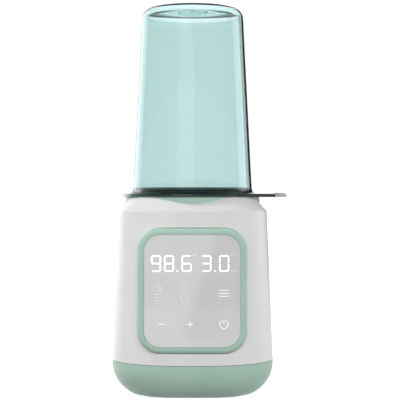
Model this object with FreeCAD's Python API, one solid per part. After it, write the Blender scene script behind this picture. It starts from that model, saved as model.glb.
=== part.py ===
"""Baby bottle warmer: a soft-square tower with a round water tank, a lift-out basket and a clear lid.

Millimetres. +Z is up and the front, with the touch panel, faces -Y. The origin is on the axis of
the tank, on the surface that the feet stand on. Every horizontal section of the body is a square
whose flat sides all have the same length, so its corner radius is its half-width less core_half.
"""
import FreeCAD, Part
import math
import os

from FreeCAD import Placement, Rotation, Vector

# --- Driving dimensions ---------------------------------------------------------------------

# Bottle, basket and tank, from the inside out
bottle_r = 33.7            # wide-neck bottle of 240 to 260 ml
bottle_clearance = 1.3
basket_wall = 1.6
basket_rim = 1.4           # how far the basket's rim stands out
basket_drain_r = 5.0
basket_leg_r = 3.0
basket_slots = 10
basket_slot_width = 7.0
basket_slot_margin = 4.0   # from the floor and the rim to a slot's ends
basket_hole_r = 4.0
basket_holes = 6
water_gap = 4.6            # water jacket round the basket
tank_wall = 2.0
tank_rim_z = 157.7
tank_floor_z = 99.0        # top of the moulded floor ring
tank_floor = 3.0
basket_floor_z = 115.0     # where the bottle stands
basket_top_z = 153.0

# Body
core_half = 14.0           # half the length of the flat part of each side
base_z = 1.6               # underside of the lower cup
seam_z = 26.5
seam_gap = 0.35            # shadow line between the two shells
shoulder_z = 140.2
top_z = 150.5              # top of the collar, where the lid sits
body_taper = 4.7           # lean of each wall from the seam to the shoulder
shoulder_margin = 5.0      # from the collar to the shoulder's outer edge
shoulder_round = 2.6
cup_round = 26.0
cup_straight = 1.6         # upright band of the cup under the seam
wall = 2.5
tongue_wall = 1.5
tongue_height = 4.0

# Collar and seal
collar_seat = 5.6          # width of the seat outside the lid's wall
collar_depth = 9.3         # from the top to the collar's foot, beyond the shoulder's upright thickness
collar_lip_gap = 0.7       # from the lip under the shoulder to the inside of the body
collar_lip_height = 1.9
collar_edge = 0.5
seal_width = 1.7
seal_height = 2.0
tank_flange = 2.5
tank_flange_inset = 1.0    # from the collar's outside to the flange's edge

# Lid
lid_top_z = 297.0
lid_wall = 2.2
lid_clearance = 1.0
lid_taper = 7.3            # loss of radius from the flange to the top
lid_flange = 2.4
lid_flange_width = 7.6
lid_flare = 5.0
lid_top_round = 8.0
vent_r = 1.75
drip_rib_r = 11.4
drip_rib_wall = 1.2
drip_rib_depth = 1.8
tab_reach = 73.0
tab_tip_r = 19.8
grip_length = 9.5
grip_ribs = 5
grip_rib_height = 0.8
grip_rib_width = 1.0

# Touch panel
panel_z = 81.7             # centre height
frame_width = 80.8
frame_height = 92.2
frame_corner = 17.0
frame_band = 4.9
frame_proud = 1.8          # how far the frame stands out of the flat of the face
frame_round = 3.4
panel_thickness = 2.0
panel_recess = 0.3
adhesive = 0.4
ledge = 2.5
well_corner = 4.0          # corners of the opening behind the ledge, where the board's screws sit
board_boss_r = 2.8
light_box_depth = 6.0
light_box_height = 24.0
light_box_side = 5.0        # from the frame's opening to the box's sides
light_box_drop = 6.4        # from the top of the frame's opening to the top of the box
light_cells = 6
light_cell_wall = 1.2
touch_row_margin = 14.2    # from the bottom of the frame's opening to the row of touch keys
touch_side_margin = 10.2   # from the sides of the opening to the outer keys
plus_key_x = -2.2
menu_key_rise = 22.7       # above the row
spring_r = 4.0
spring_wall = 0.7

# Base
cover_drop = 0.9
cover_overlap = 1.5
cover_step = 4.0           # from the cup's lower edge to the cover's edge
cover_plate = 2.2
cover_rim_height = 2.6
foot_margin = 14.2         # from the cover's edge to a foot's centre
foot_r = 6.0
foot_pocket = 1.3
foot_taper = 0.8
vent_slot = (24.0, 2.5)
vent_pitch = 6.0
vent_count = 5
boss_margin = 8.0          # from the plug's edge to a boss's centre
boss_y = 12.0
boss_r = 4.0
boss_top_z = 36.0
boss_rib = 2.0
pad_r = 5.0
pad_height = 2.2

# Heater
plate_margin = 4.2         # from the tank's wall to the edge of the heater plate
plate_thickness = 2.4
plate_boss_r = 9.0
floor_opening_margin = 9.2  # from the tank's wall to the edge of the opening in its floor
gasket = 1.0
element_width = 10.0
element_margin = 2.0
clamp_width = 16.0
clamp_thickness = 2.0
clamp_screw_x = 5.0
thermistor_r = 2.2
thermistor_length = 8.0
cutout_r = 7.0
cutout_height = 6.0
cutout_x = -24.0

# Boards
board = 1.6
power_board_gap = 2.0       # from the board's edge to the screw bosses
power_board_depth = 56.0
power_board_z = 9.0
board_screw_inset = 3.5
standoff_r = 3.0
left_column = 11.0         # from the board's left edge to the relay and the buzzer
right_column = 8.0         # from the board's right edge to the capacitors
front_row = 9.0            # from the board's front edge to the fuse and the buzzer
rear_row = 7.0             # from the board's rear edge to the terminals
relay_size = (15.0, 19.0, 15.0)
relay_edge = 0.8
core_size = (16.0, 8.0, 16.0)
winding_size = (11.0, 17.0, 11.0)
core_y = -3.0
capacitor_r = 5.0
capacitor_height = 18.0
capacitor_rim = 1.0
capacitor_ys = (-9.0, 6.0)
terminal_size = (22.0, 9.0, 12.0)
terminal_pitch = 5.0
terminal_well = (1.2, 3.0)
fuse_r = 2.5
fuse_cap_r = 3.0
fuse_cap = 5.0
fuse_length = 18.0
fuse_margin = 5.0
buzzer_r = 6.0
buzzer_height = 7.0
buzzer_hole_r = 1.5
wire_r = 1.1
sensor_wire_r = 0.77
wire_bend = 10.0
wire_fall = 12.0
cable_width = 14.0
cable_thickness = 0.8
cable_bend = 3.0
cable_reach = 6.0
cable_height = 14.0

# Screws: shank radius, head radius, head height
cover_screw = (1.75, 3.2, 2.2)
tank_screw = (1.5, 2.8, 2.2)
clamp_screw = (2.0, 3.6, 2.4)
board_screw = (1.1, 2.0, 1.5)

# Cord gland
gland_z = 17.0
gland_bore_r = 3.6
gland_wall = 1.6
gland_nose = 3.5
gland_lip = 2.3
gland_lip_length = 3.0

# Clearances
slip = 0.3                 # pieces that drop in by hand
snug = 0.15                # pieces pressed or clipped together
thread = 0.05              # a screw in its own thread

# --- Sizes that follow ----------------------------------------------------------------------

basket_inner_r = bottle_r + bottle_clearance
basket_outer_r = basket_inner_r + basket_wall
tank_inner_r = basket_outer_r + water_gap
tank_outer_r = tank_inner_r + tank_wall
lid_base_r = tank_outer_r + lid_clearance + lid_wall
lid_top_r = lid_base_r - lid_taper
flange_r = lid_base_r + lid_flange_width
collar_r = lid_base_r + collar_seat
shoulder_half = collar_r + shoulder_margin
seam_half = shoulder_half + body_taper
lean = math.degrees(math.atan2(body_taper, shoulder_z - seam_z))
collar_bottom_z = top_z - collar_depth - wall * math.sqrt(2)
collar_height = top_z - collar_bottom_z
collar_lip_r = shoulder_half - wall - collar_lip_gap
tank_flange_r = collar_r - tank_flange_inset
tank_screw_r = (tank_outer_r + tank_flange_r) / 2
plate_z = tank_floor_z + gasket
plate_top_z = plate_z + plate_thickness
floor_under_z = tank_floor_z - tank_floor
clamp_z = floor_under_z - clamp_thickness
floor_opening_r = tank_inner_r - floor_opening_margin
plate_r = tank_inner_r - plate_margin
cup_edge_half = seam_half - cup_round + math.sqrt(cup_round**2 - (seam_z - cup_straight - base_z)**2)
cover_half = cup_edge_half - cover_step
plug_half = cover_half - cover_overlap
foot_place = cover_half - foot_margin
boss_x = plug_half - boss_margin
power_board_width = 2 * (boss_x - boss_r - power_board_gap)
cover_z = base_z - cover_drop
pad_top_z = cover_z + cover_plate + pad_height
board_top_z = power_board_z + board


# --- Shape helpers --------------------------------------------------------------------------

def line(start, end):
    """The straight edge between two points."""
    return Part.LineSegment(start, end).toShape()


def rounded_path(points, radii):
    """The edges of an open line through the points, with an arc at each inner corner that has a radius."""
    edges = []
    start = points[0]
    for before, corner, after, radius in zip(points, points[1:], points[2:], radii):
        back = (before - corner).normalize()
        ahead = (after - corner).normalize()
        half_angle = back.getAngle(ahead) / 2
        if radius == 0:
            edges.append(line(start, corner))
            start = corner
            continue
        reach = radius / math.tan(half_angle)
        middle = (back + ahead).normalize() * (radius / math.sin(half_angle) - radius)
        arc_end = corner + ahead * reach
        edges.append(line(start, corner + back * reach))
        edges.append(Part.Arc(corner + back * reach, corner + middle, arc_end).toShape())
        start = arc_end
    edges.append(line(start, points[-1]))
    return edges


def profile(outline):
    """A face in the XZ plane from (x, z) or (x, z, corner radius) points, closed from last to first."""
    points = [Vector(point[0], 0, point[1]) for point in outline]
    radii = [point[2] if len(point) > 2 else 0 for point in outline[1:-1]]
    edges = rounded_path(points, radii) + [line(points[-1], points[0])]
    return Part.Face(Part.Wire(edges))


def lathe(outline):
    """A round piece about the Z axis from (r, z) points, closed from last to first."""
    return profile(outline).revolve(Vector(0, 0, 0), Vector(0, 0, 1), 360)


def four_times(shape):
    """The shape and its copies at each quarter turn about the Z axis."""
    return [shape.rotated(Vector(0, 0, 0), Vector(0, 0, 1), 90 * turn) for turn in range(4)]


def join(pieces):
    """One shape from overlapping or touching pieces, with its split faces merged."""
    return pieces[0].multiFuse(pieces[1:]).removeSplitter()


def round_square(outline):
    """A body of the soft-square plan from (half-width, z) points, filled in to its middle."""
    bottom = outline[0][1]
    top = outline[-1][1]
    face = profile([(core_half, bottom)] + outline + [(core_half, top)])
    side = face.translated(Vector(0, -core_half, 0)).extrude(Vector(0, 2 * core_half, 0))
    corner = face.translated(Vector(0, core_half, 0))
    corner = corner.revolve(Vector(core_half, core_half, 0), Vector(0, 0, 1), 90)
    middle = block(0, 0, bottom, 2 * core_half, 2 * core_half, top - bottom)
    return join([middle] + four_times(side) + four_times(corner))


def block(x, y, z, width, depth, height):
    """A box centred on x and y that stands on z."""
    return Part.makeBox(width, depth, height, Vector(x - width / 2, y - depth / 2, z))


def rod(x, y, z, radius, height):
    """An upright cylinder that stands on z."""
    return Part.makeCylinder(radius, height, Vector(x, y, z))


def plate(width, height, corner, front, back):
    """An upright plate with rounded corners that faces -Y, centred on the axis and on z = 0."""
    slab = Part.makeBox(width, back - front, height, Vector(-width / 2, front, -height / 2))
    across = [edge for edge in slab.Edges if abs(edge.tangentAt(edge.FirstParameter).y) > 0.9]
    return slab.makeFillet(corner, across)


def on_face(shape):
    """Stand a piece built on the XZ plane against the leaning front face, at the panel's height."""
    place = Vector(0, -half_width_at(panel_z), panel_z)
    return shape.transformed(Placement(place, Rotation(Vector(1, 0, 0), -lean)).toMatrix())


def screw(x, y, head_z, length, sizes, up=1):
    """A pan-head screw: its head's seat is at head_z and its shank goes up, or down with up = -1."""
    shank_r, head_r, head_height = sizes
    outline = [(0, 0), (shank_r, 0), (shank_r, -length), (0, -length)]
    shank = lathe(outline)
    head = lathe([(0, 0), (head_r, 0), (head_r, head_height, head_height / 2), (0, head_height)])
    slot = block(0, 0, head_height / 2, head_r, head_r / 3, head_height)
    piece = join([shank, head]).cut(slot)
    if up > 0:
        piece = piece.rotated(Vector(0, 0, 0), Vector(1, 0, 0), 180)
    return piece.translated(Vector(x, y, head_z))


def tube(points, bend_r, radius):
    """A round wire along straight runs with bends of one radius."""
    path = Part.Wire(rounded_path(points, [bend_r] * (len(points) - 2)))
    ring = Part.Wire(Part.makeCircle(radius, points[0], points[1] - points[0]))
    return path.makePipeShell([ring], True, True)


def upright_edges(shape):
    """The straight edges of a shape that run along Z."""
    return [edge for edge in shape.Edges if abs(edge.tangentAt(edge.FirstParameter).z) > 0.9]


def corners(x, y):
    """The four places at plus and minus x and y."""
    return [(side * x, end * y) for side in (-1, 1) for end in (-1, 1)]


# --- The outer form -------------------------------------------------------------------------

def half_width_at(z):
    """Half-width of the tapered wall of the body at a height."""
    return seam_half - body_taper * (z - seam_z) / (shoulder_z - seam_z)


def tower(inset, bottom_z):
    """The filled upper body with its 45 degree shoulder, taken in by inset all round."""
    break_half = shoulder_half - inset
    break_z = shoulder_z - inset * math.tan(math.radians(22.5))
    top = top_z - inset
    rounding = max(shoulder_round - inset, 1)
    return round_square([
        (half_width_at(bottom_z) - inset, bottom_z),
        (break_half, break_z, rounding),
        (break_half - (top - break_z), top),
    ])


def bowl(inset, top):
    """The filled lower cup up to a height, taken in by inset all round."""
    radius = cup_round - inset
    centre = Vector(seam_half - cup_round, 0, seam_z - cup_straight)
    bottom = base_z + inset
    angle = math.asin((centre.z - bottom) / radius)
    low = centre + Vector(radius * math.cos(angle), 0, -radius * math.sin(angle))
    middle = centre + Vector(radius * math.cos(angle / 2), 0, -radius * math.sin(angle / 2))
    high = centre + Vector(radius, 0, 0)
    rim = Vector(high.x, 0, top)
    inner_low = Vector(core_half, 0, bottom)
    inner_top = Vector(core_half, 0, top)
    edges = [line(inner_low, low), Part.Arc(low, middle, high).toShape(), line(high, rim)]
    edges += [line(rim, inner_top), line(inner_top, inner_low)]
    face = Part.Face(Part.Wire(edges))
    side = face.translated(Vector(0, -core_half, 0)).extrude(Vector(0, 2 * core_half, 0))
    corner = face.translated(Vector(0, core_half, 0))
    corner = corner.revolve(Vector(core_half, core_half, 0), Vector(0, 0, 1), 90)
    middle_block = block(0, 0, bottom, 2 * core_half, 2 * core_half, top - bottom)
    return join([middle_block] + four_times(side) + four_times(corner))


def frame_depth():
    """How far back the panel frame reaches to pass through the wall where it curves away."""
    radius = half_width_at(panel_z + frame_height / 2) - core_half
    offset = frame_width / 2 - core_half
    return radius - math.sqrt((radius - wall)**2 - offset**2) + slip


# --- Shells ---------------------------------------------------------------------------------

def main_housing():
    """Upper shell with the collar hole, the panel opening and the screw bosses."""
    bottom_z = seam_z + seam_gap
    shell = tower(0, bottom_z).cut(tower(wall, bottom_z))
    bosses = []
    for x, y in corners(boss_x, boss_y):
        bosses.append(rod(x, y, pad_top_z, boss_r, boss_top_z - pad_top_z))
        side = math.copysign(1, x)
        rib_z = seam_z + tongue_height + slip
        reach = seam_half - boss_x
        rib = block(x + side * reach / 2, y, rib_z, reach, boss_rib, boss_top_z - rib_z)
        bosses.append(rib.common(tower(wall / 2, rib_z)))
    shell = join([shell] + bosses)
    cuts = [rod(0, 0, shoulder_z, collar_r + snug, lid_top_z - shoulder_z)]
    cuts.append(on_face(plate(
        frame_width + 2 * snug, frame_height + 2 * snug, frame_corner + snug, -wall, frame_depth() + wall,
    )))
    for x, y in corners(boss_x, boss_y):
        cuts.append(rod(x, y, pad_top_z, cover_screw[0] + thread, boss_top_z - pad_top_z - wall))
    return shell.cut(cuts)


def lower_housing():
    """Round-bottomed lower cup with a tongue that goes up inside the upper shell."""
    cup = bowl(0, seam_z).cut(bowl(wall, seam_z))
    outer = seam_half - wall
    root_z = seam_z - cup_straight
    tongue_half = half_width_at(seam_z + tongue_height) - wall - snug
    tongue = round_square([
        (outer + thread, root_z),
        (outer + thread, seam_z),
        (tongue_half, seam_z),
        (tongue_half, seam_z + tongue_height),
    ])
    inner = tongue_half - tongue_wall
    tongue = tongue.cut(round_square([(inner, root_z), (inner, seam_z + tongue_height)]))
    opening = plug_half + snug
    cuts = [round_square([(opening, 0), (opening, base_z + wall)])]
    gland_hole = rod(0, 0, 0, gland_bore_r + gland_wall + snug, seam_half)
    cuts.append(to_rear(gland_hole))
    return join([cup, tongue]).cut(cuts)


def bottom_cover():
    """Screwed base plate with foot pockets, vent slots, board standoffs and screw pads."""
    plate_top_z = cover_z + cover_plate
    rim_z = plate_top_z + cover_rim_height
    inner = plug_half - cover_plate
    body = round_square([
        (cover_half, cover_z),
        (cover_half, base_z),
        (plug_half, base_z),
        (plug_half, rim_z),
        (inner, rim_z),
        (inner, plate_top_z),
    ])
    posts = [rod(x, y, plate_top_z, pad_r, pad_height) for x, y in corners(boss_x, boss_y)]
    for x, y in board_screw_places():
        posts.append(rod(x, y, plate_top_z, standoff_r, power_board_z - plate_top_z))
    body = join([body] + posts)
    shank_r, head_r, head_height = cover_screw
    cuts = [rod(x, y, 0, foot_r + snug, cover_z + foot_pocket) for x, y in corners(foot_place, foot_place)]
    for x, y in corners(boss_x, boss_y):
        cuts.append(rod(x, y, 0, head_r + slip, cover_z + head_height + slip))
        cuts.append(rod(x, y, 0, shank_r + slip, pad_top_z))
    for x, y in board_screw_places():
        cuts.append(rod(x, y, plate_top_z, board_screw[0] + thread, power_board_z - plate_top_z))
    for index in range(vent_count):
        y = (index - (vent_count - 1) / 2) * vent_pitch
        cuts.append(block(0, y, 0, vent_slot[0], vent_slot[1], rim_z))
    return body.cut(cuts)


def rubber_feet():
    """Four round feet pressed into the pockets of the base plate."""
    top = cover_z + foot_pocket
    foot = [(0, 0), (foot_r - foot_taper, 0), (foot_r, cover_z), (foot_r, top), (0, top)]
    return [lathe(foot).translated(Vector(x, y, 0)) for x, y in corners(foot_place, foot_place)]


def cover_screws():
    """Four screws up through the base plate into the bosses of the upper shell."""
    seat_z = cover_z + cover_screw[2] + slip
    length = boss_top_z / 2 - seat_z
    return [screw(x, y, seat_z, length, cover_screw) for x, y in corners(boss_x, boss_y)]


def cup_half_at(z, inset):
    """Half-width of the round of the lower cup at a height, taken in by inset."""
    rise = seam_z - cup_straight - z
    return seam_half - cup_round + math.sqrt((cup_round - inset)**2 - rise**2)


def to_rear(shape):
    """Turn a piece made along Z so that it points to the rear, and lift it to the gland's height."""
    return shape.rotated(Vector(0, 0, 0), Vector(1, 0, 0), -90).translated(Vector(0, 0, gland_z))


def cord_gland():
    """Rubber gland for the mains lead, through the rear of the cup."""
    body_r = gland_bore_r + gland_wall
    lip_r = body_r + gland_lip
    lip_y = cup_half_at(gland_z - lip_r, wall) - snug
    nose_y = seam_half + gland_nose
    gland = lathe([
        (gland_bore_r, lip_y - gland_lip_length),
        (lip_r, lip_y - gland_lip_length),
        (lip_r, lip_y),
        (body_r, lip_y),
        (body_r, nose_y, gland_wall / 2),
        (gland_bore_r, nose_y),
    ])
    return to_rear(gland)


# --- Collar and tank ------------------------------------------------------------------------

def collar_ring():
    """Round collar that rises out of the shoulder and carries the lid."""
    inner = tank_outer_r + slip
    seat = tank_outer_r + seal_width + snug
    lip_z = collar_bottom_z + collar_lip_height
    ring = lathe([
        (inner, collar_bottom_z),
        (collar_lip_r, collar_bottom_z),
        (collar_lip_r, lip_z),
        (collar_r, lip_z),
        (collar_r, top_z, collar_edge),
        (seat, top_z),
        (seat, top_z - seal_height),
        (inner, top_z - seal_height),
    ])
    shank_r = tank_screw[0] + thread
    depth = collar_height - seal_height - wall
    return ring.cut([rod(x, y, collar_bottom_z, shank_r, depth) for x, y in tank_screw_places()])


def tank_screw_places():
    """Screws of the tank flange, on the diagonals."""
    place = tank_screw_r * math.sqrt(0.5)
    return corners(place, place)


def collar_seal():
    """Silicone ring that keeps water out of the joint between the tank and the collar."""
    bottom = top_z - seal_height
    return lathe([
        (tank_outer_r, bottom),
        (tank_outer_r + seal_width, bottom),
        (tank_outer_r + seal_width, top_z, seal_height / 4),
        (tank_outer_r, top_z),
    ])


def water_tank():
    """Dark moulded tank: its rim stands up inside the lid and its floor is open for the heater plate."""
    flange_z = collar_bottom_z - tank_flange
    tank = lathe([
        (floor_opening_r, floor_under_z),
        (tank_outer_r, floor_under_z, tank_wall),
        (tank_outer_r, flange_z),
        (tank_flange_r, flange_z),
        (tank_flange_r, collar_bottom_z),
        (tank_outer_r, collar_bottom_z),
        (tank_outer_r, tank_rim_z, tank_wall / 3),
        (tank_inner_r, tank_rim_z, tank_wall / 3),
        (tank_inner_r, tank_floor_z, tank_wall),
        (floor_opening_r, tank_floor_z),
    ])
    shank_r = tank_screw[0] + slip
    return tank.cut([rod(x, y, flange_z, shank_r, tank_flange) for x, y in tank_screw_places()])


def tank_screws():
    """Four screws up through the tank's flange into the collar."""
    seat_z = collar_bottom_z - tank_flange
    length = tank_flange + (collar_height - seal_height) / 2
    return [screw(x, y, seat_z, length, tank_screw) for x, y in tank_screw_places()]


# --- Heater ---------------------------------------------------------------------------------

def heater_plate():
    """Aluminium floor of the tank, with a threaded boss under its middle."""
    disc = lathe([
        (0, floor_under_z),
        (plate_boss_r, floor_under_z),
        (plate_boss_r, plate_z),
        (plate_r, plate_z),
        (plate_r, plate_top_z, plate_thickness / 3),
        (0, plate_top_z),
    ])
    depth = plate_z - floor_under_z + plate_thickness / 2
    holes = [rod(x, 0, floor_under_z, clamp_screw[0] + thread, depth) for x in clamp_screw_xs()]
    return disc.cut(holes)


def clamp_screw_xs():
    """Places of the two clamp screws along the bar."""
    return (-clamp_screw_x, clamp_screw_x)


def heater_seal():
    """Flat silicone gasket between the heater plate and the floor of the tank."""
    return lathe([
        (floor_opening_r + snug, tank_floor_z),
        (plate_r, tank_floor_z),
        (plate_r, plate_z),
        (floor_opening_r + snug, plate_z),
    ])


def element_radii():
    """Inner and outer radius of the ring element, inside the opening in the tank's floor."""
    outer = floor_opening_r - element_margin
    return outer - element_width, outer


def heating_element():
    """Ring element pressed against the underside of the plate, with two terminal pins."""
    inner, outer = element_radii()
    ring = lathe([
        (inner, floor_under_z),
        (outer, floor_under_z),
        (outer, plate_z),
        (inner, plate_z),
    ])
    pins = [rod(x, y, pin_z(), wire_r, floor_under_z - pin_z()) for x, y in pin_places()]
    return join([ring] + pins)


def pin_places():
    """The element's two terminal pins, behind the clamp bar."""
    inner, outer = element_radii()
    place = (inner + outer) / 2
    return [(side * place / 2, place * math.sqrt(0.75)) for side in (-1, 1)]


def pin_z():
    """Lower end of the element's terminal pins."""
    return clamp_z - clamp_screw[2]


def heater_clamp():
    """Steel bar whose ends bear on the underside of the tank and hold the element up."""
    length = 2 * (tank_outer_r - tank_wall)
    bar = block(0, 0, clamp_z, length, clamp_width, clamp_thickness)
    bar = bar.makeFillet(clamp_width / 3, upright_edges(bar))
    return bar.cut([rod(x, 0, clamp_z, clamp_screw[0] + slip, clamp_thickness) for x in clamp_screw_xs()])


def clamp_screws():
    """Two screws up through the bar into the boss of the heater plate."""
    length = clamp_thickness + plate_z - floor_under_z + plate_thickness / 4
    return [screw(x, 0, clamp_z, length, clamp_screw) for x in clamp_screw_xs()]


def thermistor_y():
    """The thermistor stands half-way between the plate's boss and the element."""
    return (plate_boss_r + element_radii()[0]) / 2


def thermistor():
    """Temperature sensor held against the underside of the heater plate."""
    bead = [
        (0, plate_z - thermistor_length),
        (thermistor_r, plate_z - thermistor_length, thermistor_r / 2),
        (thermistor_r, plate_z),
        (0, plate_z),
    ]
    return lathe(bead).translated(Vector(0, thermistor_y(), 0))


def thermal_cutout():
    """Disc thermostat under the clamp bar, with two blade terminals."""
    bottom = clamp_z - cutout_height
    can = rod(cutout_x, 0, bottom, cutout_r, cutout_height)
    blade_height = cutout_height * 0.8
    blades = [
        block(cutout_x, side * cutout_r / 2, bottom - blade_height, cutout_r / 2, board / 2, blade_height)
        for side in (-1, 1)
    ]
    return join([can] + blades)


# --- Touch panel ----------------------------------------------------------------------------

def panel_seat():
    """Depth of the ledge that the touch panel is stuck to, measured back from the flat of the face."""
    return panel_recess - frame_proud + panel_thickness + adhesive


def frame_opening():
    """Half the width and half the height of the opening behind the ledge."""
    inset = frame_band + ledge
    return frame_width / 2 - inset, frame_height / 2 - inset


def board_front():
    """Depth of the front of the display board, behind the light box."""
    return panel_seat() - adhesive + light_box_depth + slip


def display_screw_places():
    """The display board's four screws, in the corners of the frame's opening."""
    half_width, half_height = frame_opening()
    inset = board_boss_r - snug
    return corners(half_width - inset, half_height - inset)


def facing_rod(x, z, front, radius, back):
    """A cylinder across the face, from its front depth to its back depth."""
    return Part.makeCylinder(radius, back - front, Vector(x, front, z), Vector(0, 1, 0))


def panel_frame():
    """Raised frame round the touch panel, deep enough to pass through the curving wall."""
    depth = frame_depth()
    ring = plate(frame_width, frame_height, frame_corner, -frame_proud, depth)
    front = [edge for edge in ring.Edges if edge.BoundBox.YMax < thread - frame_proud]
    ring = ring.makeFillet(frame_round, front)
    inner = (frame_width - 2 * frame_band, frame_height - 2 * frame_band, frame_corner - frame_band)
    half_width, half_height = frame_opening()
    ring = ring.cut([
        plate(*inner, -wall - frame_proud, panel_seat()),
        plate(2 * half_width, 2 * half_height, well_corner, 0, depth + wall),
    ])
    bosses = [facing_rod(x, z, panel_seat(), board_boss_r, board_front()) for x, z in display_screw_places()]
    holes = [
        facing_rod(x, z, panel_seat(), board_screw[0] + thread, board_front())
        for x, z in display_screw_places()
    ]
    return on_face(join([ring] + bosses).cut(holes))


def touch_panel():
    """Flat glossy panel, set just below the front of the frame."""
    size = (frame_width - 2 * frame_band - 2 * snug, frame_height - 2 * frame_band - 2 * snug)
    front = panel_recess - frame_proud
    return on_face(plate(*size, frame_corner - frame_band - snug, front, front + panel_thickness))


def panel_adhesive():
    """Thin adhesive ring on the ledge behind the touch panel."""
    outer = (frame_width - 2 * frame_band - 2 * slip, frame_height - 2 * frame_band - 2 * slip)
    half_width, half_height = frame_opening()
    corner = frame_corner - frame_band
    back = panel_seat()
    ring = plate(*outer, corner - slip, back - adhesive, back)
    return on_face(ring.cut(plate(2 * half_width, 2 * half_height, corner - ledge, back - wall, back + wall)))


def digit_light_box():
    """White reflector with one open cell behind each digit or mark."""
    half_width, half_height = frame_opening()
    width = 2 * (half_width - light_box_side)
    front = panel_seat() - adhesive
    bottom = half_height - light_box_drop - light_box_height
    box = Part.makeBox(width, light_box_depth, light_box_height, Vector(-width / 2, front, bottom))
    pitch = (width - light_cell_wall) / light_cells
    cells = []
    for index in range(light_cells):
        x = -width / 2 + light_cell_wall + index * pitch
        size = (pitch - light_cell_wall, light_box_depth, light_box_height - 2 * light_cell_wall)
        cells.append(Part.makeBox(*size, Vector(x, front, bottom + light_cell_wall)))
    return on_face(box.cut(cells))


def touch_springs():
    """Sensor springs that carry each touch key's signal from the panel to the board."""
    half_width, half_height = frame_opening()
    side = half_width - touch_side_margin
    row = touch_row_margin - half_height
    places = [(-side, row), (plus_key_x, row), (side, row), (side, row + menu_key_rise)]
    front = panel_seat() - adhesive
    springs = []
    for x, z in places:
        coil = facing_rod(x, z, front, spring_r, board_front())
        springs.append(on_face(coil.cut(facing_rod(x, z, front, spring_r - spring_wall, board_front()))))
    return springs


def display_board():
    """Circuit board behind the panel."""
    half_width, half_height = frame_opening()
    size = (2 * (half_width - slip), 2 * (half_height - slip), well_corner - slip)
    sheet = plate(*size, board_front(), board_front() + board)
    holes = [
        facing_rod(x, z, board_front(), board_screw[0] + slip, board_front() + board)
        for x, z in display_screw_places()
    ]
    return on_face(sheet.cut(holes))


def display_board_screws():
    """Four screws through the display board into the bosses of the frame."""
    screws = []
    for x, z in display_screw_places():
        piece = screw(0, 0, 0, board + light_box_depth / 2, board_screw, up=-1)
        piece = piece.rotated(Vector(0, 0, 0), Vector(1, 0, 0), -90)
        screws.append(on_face(piece.translated(Vector(x, board_front() + board, z))))
    return screws


# --- Power board ----------------------------------------------------------------------------

def board_screw_places():
    """The power board's four screws."""
    return corners(power_board_width / 2 - board_screw_inset, power_board_depth / 2 - board_screw_inset)


def power_board():
    """Mains board on the standoffs of the base plate."""
    sheet = block(0, 0, power_board_z, power_board_width, power_board_depth, board)
    hole_r = board_screw[0] + slip
    return sheet.cut([rod(x, y, power_board_z, hole_r, board) for x, y in board_screw_places()])


def power_board_screws():
    """Four screws down through the power board."""
    return [screw(x, y, board_top_z, board * 3, board_screw, up=-1) for x, y in board_screw_places()]


def power_relay():
    """Relay that switches the heater."""
    case = block(left_column - power_board_width / 2, 0, board_top_z, *relay_size)
    return case.makeFillet(relay_edge, upright_edges(case))


def power_transformer():
    """Ferrite transformer: a core of two halves round a wound bobbin."""
    relay_side = left_column + relay_size[0] / 2
    core_x = (relay_side - right_column - capacitor_r) / 2
    core = block(core_x, core_y, board_top_z, *core_size)
    winding_z = board_top_z + (core_size[2] - winding_size[2]) / 2
    return join([core, block(core_x, core_y, winding_z, *winding_size)])


def power_capacitors():
    """Two electrolytic capacitors."""
    top = capacitor_height - capacitor_rim / 2
    can = lathe([
        (0, 0),
        (capacitor_r, 0),
        (capacitor_r, capacitor_height, capacitor_rim * 0.8),
        (capacitor_r - capacitor_rim, capacitor_height),
        (capacitor_r - capacitor_rim, top),
        (0, top),
    ])
    x = power_board_width / 2 - right_column
    return [can.translated(Vector(x, y, board_top_z)) for y in capacitor_ys]


def terminal_block():
    """Screw terminals for the heater wires and the mains lead."""
    width, depth, height = terminal_size
    body = block(0, terminal_y(), board_top_z, width, depth, height)
    well_r, well_depth = terminal_well
    y = terminal_y() - depth / 4
    wells = []
    for step in (-1.5, -0.5, 0.5, 1.5):
        wells.append(rod(step * terminal_pitch, y, board_top_z + height - well_depth, well_r, well_depth))
    return body.cut(wells)


def terminal_y():
    """Row of the terminals on the power board."""
    return power_board_depth / 2 - rear_row


def fuse():
    """Glass fuse in two end caps, laid along X."""
    start = power_board_width / 2 - fuse_margin - fuse_length
    y = front_row - power_board_depth / 2

    def along_x(radius, x, length):
        return Part.makeCylinder(radius, length, Vector(x, y, board_top_z + fuse_cap_r), Vector(1, 0, 0))
    caps = [along_x(fuse_cap_r, x, fuse_cap) for x in (start, start + fuse_length - fuse_cap)]
    return join([along_x(fuse_r, start, fuse_length)] + caps)


def buzzer():
    """Round sounder with a hole in its top."""
    sounder = lathe([
        (0, 0),
        (buzzer_r, 0),
        (buzzer_r, buzzer_height, buzzer_hole_r / 3),
        (buzzer_hole_r, buzzer_height),
        (buzzer_hole_r, buzzer_height - buzzer_hole_r),
        (0, buzzer_height - buzzer_hole_r),
    ])
    x = left_column - power_board_width / 2
    return sounder.translated(Vector(x, front_row - power_board_depth / 2, board_top_z))


def heater_wires():
    """Two wires from the element and one from the thermistor, down to the power board."""
    terminal_z = board_top_z + terminal_size[2]
    wires = []
    for x, y in pin_places():
        end_x = math.copysign(terminal_pitch, x)
        end = Vector(end_x, terminal_y() + terminal_size[1] / 6, terminal_z)
        wires.append(hanging_wire(Vector(x, y, pin_z()), end, wire_r))
    sensor_top = Vector(0, thermistor_y(), plate_z - thermistor_length)
    sensor_end = Vector(-terminal_pitch, terminal_y() - terminal_size[1], board_top_z)
    wires.append(hanging_wire(sensor_top, sensor_end, sensor_wire_r))
    return wires


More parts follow.
